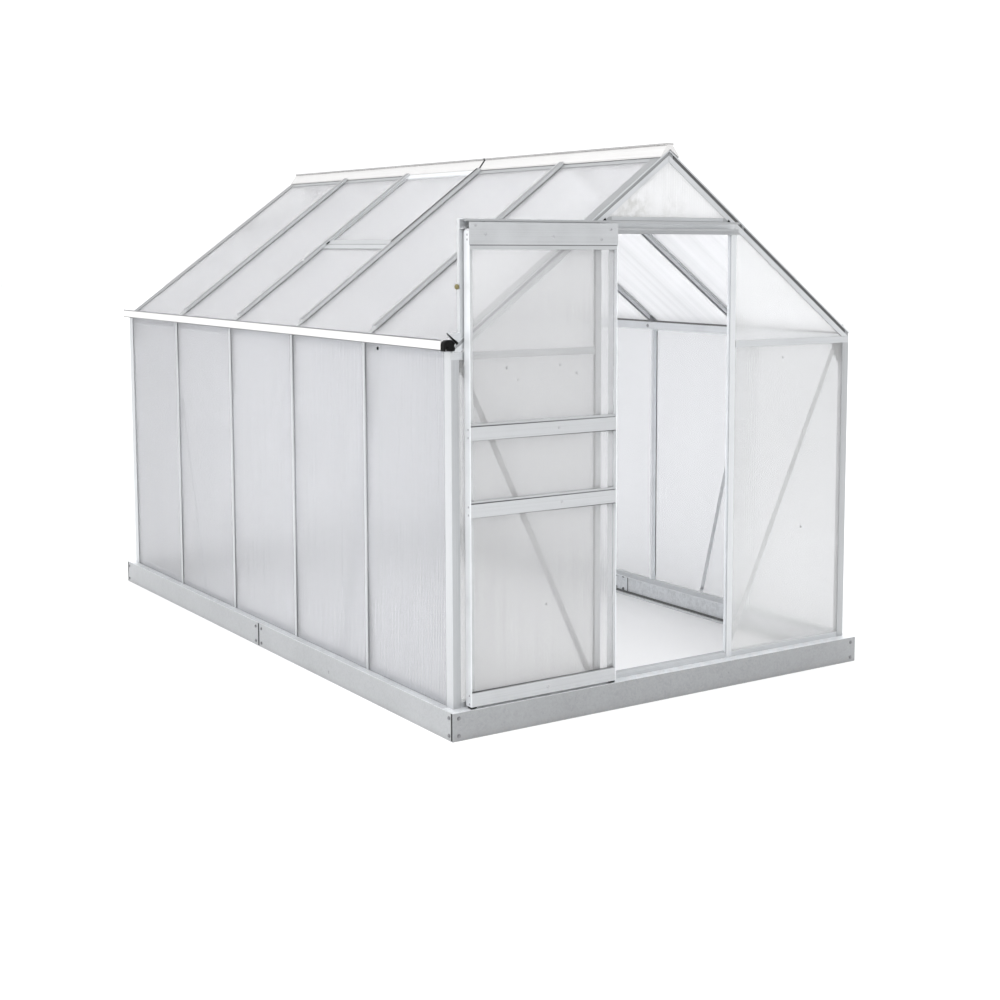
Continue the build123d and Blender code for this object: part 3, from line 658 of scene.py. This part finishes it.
# ---------------------------------------------------------------- ridge closures, gutter beads
def ridge_shadow_closures(bm):
    # filler strip on the sheets along the foot of the ridge cap, a bay at a time; painted shade: its grey stands in for
    # the ridge cap's shadow line
    ys = (-1.506,) + STUD_Y + (1.506,)
    for sx in (-1, 1):
        for k, (y0, y1) in enumerate(zip(ys, ys[1:])):
            if sx < 0 and k == 2:
                continue
            y0, y1 = y0 + (0.0145 if k else 0.0), y1 - (0.0145 if k < 4 else 0.0)
            pts = [(0.0425, 0.0002), (0.0585, 0.0002), (0.0585, 0.0023), (0.0425, 0.0023)]
            prism(bm, [(sx * x, y0, roof_z(x, d)) for x, d in pts], (0, y1 - y0, 0))


piece("ridge_shadow_closures", "frame", CLOSURE_SHADE, ridge_shadow_closures, 0.0004)


def ridge_joint(bm):
    # sealant in the joint between the ridge cap's two lengths
    foot = roof_z(0.040) + 0.0010
    for sx in (-1, 1):
        out = [(0.0412, foot), (0.0425, foot), (0.0425, 2.0042), (0.0123, 2.0444), (0.0112, 2.0436), (0.0412, 2.0036)]
        prism(bm, [(sx * x, -0.3165, z) for x, z in out], (0, 0.0130, 0))
        lip = [(0.0150, 2.0445), (0.0164, 2.0445), (0.0164, 2.0498), (0.0150, 2.0498)]
        prism(bm, [(sx * x, -0.3165, z) for x, z in lip], (0, 0.0130, 0))


piece("ridge_joint", "frame", RUBBER, ridge_joint)


def gutter_shadow_beads(bm):
    # rolled edge along the top of each gutter, and a drip edge under its floor; painted shade: both are toned dark to
    # stand in for the shadow lines along the gutter's edges
    for sx, y0 in ((-1, -1.5365), (1, -1.4995)):
        for pts in ([(0.9505, 1.3620), (0.9505, 1.3656), (0.9495, 1.3663), (0.9478, 1.3663), (0.9470, 1.3656), (0.9470, 1.3640), (0.9500, 1.3640), (0.9500, 1.3620)],
                    [(0.9500, 1.3330), (0.9500, 1.3300), (0.9490, 1.3292), (0.9465, 1.3292), (0.9465, 1.3330)]):
            prism(bm, [(sx * x, y0, z) for x, z in pts], (0, 1.5555 - y0, 0))


piece("gutter_shadow_beads", "frame", GUTTER_EDGE_SHADE, gutter_shadow_beads)


def eave_shadow_fillers(bm):
    # foam strip on the inner edge of each eave beam, a bay at a time; painted shade: its dark grey stands in for the
    # shadow line along the beam's top
    ys = (-1.526,) + STUD_Y + (1.526,)
    for sx in (-1, 1):
        for k, (y0, y1) in enumerate(zip(ys, ys[1:])):
            y0, y1 = y0 + (0.015 if k else 0.002), y1 - (0.015 if k < 4 else 0.002)
            pts = [(0.8912, 1.3320), (0.9000, 1.3320), (0.9000, 1.3375), (0.8975, 1.3395), (0.8912, 1.3395)]
            prism(bm, [(sx * x, y0, z) for x, z in pts], (0, y1 - y0, 0))


piece("eave_shadow_fillers", "frame", SEALANT_SHADE, eave_shadow_fillers)


def rafter_light_beads(bm):
    # raised bead along one edge of each rafter's cap; painted highlight: it is toned lighter than the cap to stand in
    # for the light line along the cap's edge
    for sx in (-1, 1):
        for y in STUD_Y:
            x0 = 0.470 if sx < 0 and abs(y + 0.31) < 0.01 else 0.046
            pts = [(x0, -0.0100), (0.874, -0.0100), (0.874, -0.0111), (x0, -0.0111)]
            prism(bm, [(sx * x, y + 0.0100, roof_z(x, d)) for x, d in pts], (0, 0.0034, 0))


piece("rafter_light_beads", "frame", ALU_BEAD_LIGHT, rafter_light_beads, 0.0003)


# ---------------------------------------------------------------- gutter's end plug
def gutter_plug(bm):
    # moulded plug: two feet with an arch between them under a humped top
    out = [(-0.950, 1.328), (-0.9425, 1.328), (-0.9422, 1.338), (-0.9395, 1.3425), (-0.9350, 1.3435), (-0.9305, 1.3415),
           (-0.9290, 1.337), (-0.9285, 1.328), (-0.9085, 1.328), (-0.9060, 1.336), (-0.9100, 1.346), (-0.9050, 1.357), (-0.9160, 1.366),
           (-0.9290, 1.3655),
           (-0.9390, 1.3640), (-0.9470, 1.3580), (-0.950, 1.350)]
    prism(bm, [(x, -1.5604, z) for x, z in out], (0, 0.0020, 0))
    body = out[:7] + [(-0.9285, 1.328), (-0.9226, 1.328), (-0.9226, 1.3655)] + out[13:]
    prism(bm, [(x, -1.5584, z) for x, z in body], (0, 0.0213, 0))


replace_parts(piece("gutter_plug", "frame", BLACK, gutter_plug, 0.0006), "gutter_end_cap")


# ---------------------------------------------------------------- track strut's foot
def strut_bracket(bm):
    # folded strip in a V round the strut's foot
    y0 = -1.5604
    for a, b in (((-0.934, 1.388), (-0.902, 1.357)), ((-0.902, 1.357), (-0.885, 1.372))):
        dx, dz = b[0] - a[0], b[1] - a[1]
        n = math.hypot(dx, dz)
        ox, oz = -dz / n * 0.0065, dx / n * 0.0065
        prism(bm, [(a[0] - ox, y0, a[1] - oz), (b[0] - ox, y0, b[1] - oz),
                   (b[0] + ox, y0, b[1] + oz), (a[0] + ox, y0, a[1] + oz)], (0, 0.0022, 0))
    prism(bm, [(-0.926, y0 + 0.0010, 1.3860), (-0.902, y0 + 0.0010, 1.3600), (-0.884, y0 + 0.0010, 1.3750), (-0.884, y0 + 0.0010, 1.3890)],
          (0, 0.0012, 0))


piece("strut_bracket", "frame", ALU_X, strut_bracket, 0.0005)


def strut_lip(bm):
    y0 = -1.5628
    a, b = (-0.940, 1.389), (-0.898, 1.352)
    dx, dz = b[0] - a[0], b[1] - a[1]
    n = math.hypot(dx, dz)
    ox, oz = -dz / n * 0.0048, dx / n * 0.0048
    prism(bm, [(a[0] - ox * 0.2, y0, a[1] - oz * 0.2), (b[0] - ox, y0, b[1] - oz),
               (b[0] + ox, y0, b[1] + oz), (a[0] + ox * 0.2, y0, a[1] + oz * 0.2)], (0, 0.0022, 0))


piece("strut_lip", "frame", BLACK, strut_lip)


def strut_knob(bm):
    lathe(bm, (-0.887, -1.551, 1.542), (-1, 0, 0), [(0.0045, 0.0), (0.0045, 0.002), (0.0085, 0.0025), (0.0095, 0.006),
                                                   (0.0090, 0.010), (0.0060, 0.0125), (0.0030, 0.0130)], 22)


piece("strut_knob", "frame", OLIVE, strut_knob)


# ---------------------------------------------------------------- vent seals
def vent_shadow_seals(bm):
    # rubber on the rafter's cap along the vent's front edge, which stands in for the shadow line beside the cap
    # (painted shade), and a stop at the vent's lower back corner
    def slope_bar(x0, x1, y0, y1, d0, d1):
        prism(bm, [(-x0, y0, roof_z(x0, d0)), (-x1, y0, roof_z(x1, d0)), (-x1, y0, roof_z(x1, d1)), (-x0, y0, roof_z(x0, d1))],
              (0, y1 - y0, 0))
    slope_bar(0.046, 0.462, -0.3022, -0.2962, -0.0118, -0.0100)
    slope_bar(0.452, 0.464, 0.285, 0.295, -0.0062, -0.0030)


piece("vent_shadow_seals", "frame", RUBBER, vent_shadow_seals)


# ---------------------------------------------------------------- door fixings
DX0, DX1 = -0.873, -0.260
RAILS = ((1.026, 1.072), (0.763, 0.809), (0.108, 0.156))


def door_screws(bm):
    for x, s in ((DX0, -1), (DX1, 1)):
        for z0, z1 in RAILS + ((1.690, 1.724),):
            for z in (z0 + 0.009, z1 - 0.009):
                pan_head(bm, (x, -1.586, z), (s, 0, 0), 0.0038)
    for x, z in ((-0.809, 1.717), (-0.331, 1.701), (-0.291, 1.736), (-0.848, 1.746)):
        pan_head(bm, (x, -1.599, z), (0, -1, 0), 0.0045)


piece("door_screws", "door", SCREW, door_screws)


def door_rivets(bm):
    for x, y, z in ((-0.536, -1.599, 1.709), (-0.497, -1.597, 0.786), (-0.556, -1.597, 0.130), (-0.510, -1.597, 1.049)):
        pan_head(bm, (x, y, z), (0, -1, 0), 0.0050)


piece("door_rivets", "door", BOLT, door_rivets)


def door_shadow_seals(bm):
    # glazing rubber along the rails' edges, set back from their faces; painted shade: the strips stand in for the
    # rails' shadow lines on the panes and taper so each line fades along the rail
    x0, x1 = DX0 + 0.0035, DX1 - 0.0035

    def strip(z, h0, h1, d0, d1):
        # height and depth change from the left end to the right
        a, b = [[bm.verts.new(Vector((x, y, v))) for y, v in ((-1.5825 - d, z), (-1.5825, z), (-1.5825, z + h), (-1.5825 - d, z + h))]
                for x, h, d in ((x0, h0, d0), (x1, h1, d1))]
        for k in range(4):
            bm.faces.new((a[k], a[(k + 1) % 4], b[(k + 1) % 4], b[k]))
        bm.faces.new(list(reversed(a)))
        bm.faces.new(b)

    for z0, z1 in RAILS[:2]:
        strip(z1, 0.0022, 0.0010, 0.012, 0.0085)
        strip(z0, -0.0006, -0.0032, 0.012, 0.012)
    strip(0.156, 0.0014, 0.0006, 0.009, 0.002)
    # painted shade: dark strip under the hanger plate for its shadow line
    bar(bm, (x0, -1.5990, 1.6796), (x1, -1.5972, 1.6820))


piece("door_shadow_seals", "door", SEAL, door_shadow_seals)


def door_lips(bm):
    # glazing bead above each middle rail
    x0, x1 = DX0 + 0.0035, DX1 - 0.0035
    for z0, z1 in RAILS[:2]:
        prism(bm, [(x0, -1.5900, z1 + 0.0022), (x1, -1.5900, z1 + 0.0010), (x1, -1.5900, z1 + 0.0092),
                   (x0, -1.5900, z1 + 0.0092)], (0, 0.0078, 0))


piece("door_lips", "door", ALU_DOOR, door_lips, 0.0006)


# ---------------------------------------------------------------- marks of use
def marks(bm):
    rng = random.Random(7)
    side = (-1, 0, 0)
    for y, z, l, w, t in ((-1.461, 0.842, 0.016, 0.006, 1.0), (-1.199, 0.590, 0.020, 0.004, 0.4),
                          (-1.192, 0.572, 0.018, 0.004, 1.7), (-1.274, 0.200, 0.024, 0.005, 0.7), (0.085, 0.328, 0.014, 0.008, 1.2),
                          (0.62, 1.10, 0.030, 0.004, 0.5), (-0.60, 0.42, 0.010, 0.006, 0.2)):
        fleck(bm, rng, (-0.9197, y, z), side, l, w, t)
    front = (0, -1, 0)
    for x, z in ((0.571, 1.251), (0.681, 0.574)):
        fleck(bm, rng, (x, -1.5537, z), front, 0.010, 0.008, rng.uniform(0, 3))
    fleck(bm, rng, (0.276, -1.600, 0.054), front, 0.008, 0.007, 0.3)
    fleck(bm, rng, (-0.950, -0.66, 0.034), side, 0.008, 0.014, 0.2)


piece("sheet_marks", "frame", GRIME, marks)


# rubber plug in a hole of the front side sheet, under the gutter
piece("sheet_plug", "frame", BLACK, lambda bm: lathe(
    bm, (-0.9197, -1.036, 1.310), (-1, 0, 0), [(0.0066, 0.0), (0.0066, 0.0012), (0.0056, 0.0020), (0.0020, 0.0024)], 20))


def door_marks(bm):
    rng = random.Random(11)
    for x, z in ((-0.497, 1.266), (-0.425, 1.235), (-0.672, 1.222), (-0.554, 0.426), (-0.717, 1.265)):
        fleck(bm, rng, (x, -1.5815, z), (0, -1, 0), rng.uniform(0.006, 0.012), 0.005, rng.uniform(0, 3))


piece("door_marks", "door", GRIME, door_marks)


def stud_scuffs(bm):
    rng = random.Random(3)
    for y, z, l, w, t in ((-0.931, 1.045, 0.030, 0.005, 0.9), (-0.926, 1.000, 0.034, 0.006, 2.2), (-0.933, 0.965, 0.026, 0.005, 0.8),
                          (-0.927, 0.770, 0.020, 0.003, 1.4)):
        fleck(bm, rng, (-0.9220, y, z), (-1, 0, 0), l, w, t)


piece("stud_scuffs", "frame", SCUFF, stud_scuffs)


def roof_marks(bm):
    rng = random.Random(5)
    up = (-SIN, 0, COS)
    for x, y, l in ((0.62, -0.55, 0.022), (0.70, -0.62, 0.014), (0.66, -0.42, 0.026), (0.52, 0.48, 0.012), (0.30, -0.70, 0.010)):
        fleck(bm, rng, (-x, y, roof_z(x, 0.0023)), up, l, 0.004, rng.uniform(0, 3))


piece("roof_marks", "frame", GRIME, roof_marks)


def rivet(bm, s, x, y):
    lathe(bm, (s * x, y, roof_z(x, -0.010)), (s * SIN, 0, COS), [(0.0046, 0.0), (0.0043, 0.0010), (0.0030, 0.0018), (0.0012, 0.0021)], 16)


def roof_rivets(bm):
    for x in (0.57, 0.16, 0.84):
        for y in STUD_Y:
            for s in (-1, 1):
                if (s, x, y) != (-1, 0.57, 0.31):
                    rivet(bm, s, x, y)


piece("roof_rivets", "frame", RIVET_DULL, roof_rivets)
piece("roof_rivet_new", "frame", RIVET, lambda bm: rivet(bm, -1, 0.57, 0.31))

# ---------------------------------------------------------------- stage
me = bpy.data.meshes.new("floor")
me.from_pydata([(-60, -60, 0), (60, -60, 0), (60, 60, 0), (-60, 60, 0)], [], [(0, 1, 2, 3)])
floor = bpy.data.objects.new("floor", me)
bpy.context.scene.collection.objects.link(floor)
fm = Mat("floor_pale")
fm.put(fm.bsdf.inputs["Base Color"], fm.ramp(fm.noise(fm.obj, 0.6, 3.0), [(0.3, (0.93, 0.93, 0.93)), (0.7, (0.95, 0.95, 0.95))]))
fm.bsdf.inputs["Roughness"].default_value = 0.9
fm.bsdf.inputs["Specular IOR Level"].default_value = 0.1
me.materials.append(fm.mat)
floor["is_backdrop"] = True

world = bpy.data.worlds.new("studio")
bpy.context.scene.world = world
world.use_nodes = True
wt = world.node_tree
wt.nodes.clear()


def wnode(kind, **props):
    n = wt.nodes.new("ShaderNode" + kind)
    for k, v in props.items():
        setattr(n, k, v)
    return n


def lobe(direction, lo, hi, strength):
    # soft bright patch of sky round a direction
    dot = wnode("VectorMath", operation="DOT_PRODUCT")
    wt.links.new(wtc.outputs["Generated"], dot.inputs[0])
    dot.inputs[1].default_value = Vector(direction).normalized()
    mp = wnode("MapRange", interpolation_type="SMOOTHSTEP")
    wt.links.new(dot.outputs["Value"], mp.inputs["Value"])
    for s, v in zip(("From Min", "From Max", "To Min", "To Max"), (lo, hi, 0.0, strength)):
        mp.inputs[s].default_value = v
    return mp.outputs[0]


wtc = wnode("TexCoord")
total = None
for part in (lobe((-1.0, -0.10, 0.35), -0.1, 1.0, 0.40), lobe((0.575, 0.81, 0.10), 0.0, 0.85, 0.36),
             lobe((0.75, 0.35, 0.55), 0.5, 1.0, 0.35), lobe((0, 0, 1), 0.0, 1.0, 0.65)):
    if total is None:
        total = part
    else:
        a = wnode("Math", operation="ADD")
        wt.links.new(total, a.inputs[0])
        wt.links.new(part, a.inputs[1])
        total = a.outputs[0]
base = wnode("Math", operation="ADD")
wt.links.new(total, base.inputs[0])
base.inputs[1].default_value = 0.66
bg = wnode("Background")
bg.inputs["Color"].default_value = (0.985, 0.99, 1.0, 1.0)
wt.links.new(base.outputs[0], bg.inputs["Strength"])
wo = wnode("OutputWorld")
wt.links.new(bg.outputs[0], wo.inputs["Surface"])

for name, place, aim, size, power in (("key", (-6.5, -2.6, 4.2), (-0.6, -0.6, 1.0), (6.0, 4.0), 130.0),
                                      ("front", (-2.4, -7.5, 5.5), (0.0, -1.5, 1.2), (4.0, 3.0), 130.0)):
    lamp = bpy.data.lights.new(name, "AREA")
    lamp.shape, lamp.size, lamp.size_y, lamp.energy = "RECTANGLE", *size, power
    lo = bpy.data.objects.new(name, lamp)
    bpy.context.scene.collection.objects.link(lo)
    lo.location = place
    lo.rotation_mode = "QUATERNION"
    lo.rotation_quaternion = (Vector(aim) - lo.location).to_track_quat("-Z", "Y")

scene = bpy.context.scene
scene.view_settings.view_transform = "Standard"
scene.view_settings.look = "None"
scene.cycles.max_bounces = 9
scene.cycles.transmission_bounces = 9

# ---------------------------------------------------------------- camera
cd = bpy.data.cameras.new("camera")
cd.sensor_width, cd.lens = 36.0, 1585.29 / 1000 * 36.0
cd.shift_x, cd.shift_y = -0.075, -0.080
cd.clip_start, cd.clip_end = 0.1, 300.0
cam = bpy.data.objects.new("camera", cd)
scene.collection.objects.link(cam)
right, up, ahead = Vector((0.819171, -0.573547, 0.001904)), Vector((0.060347, 0.089492, 0.994158)), Vector((0.570366, 0.814270, -0.107921))
rot = Matrix((right, up, -ahead)).transposed().to_4x4()
cam.matrix_world = Matrix.Translation((-3.61515, -6.12590, 1.67193)) @ rot
scene.camera = cam

lo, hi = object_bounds()
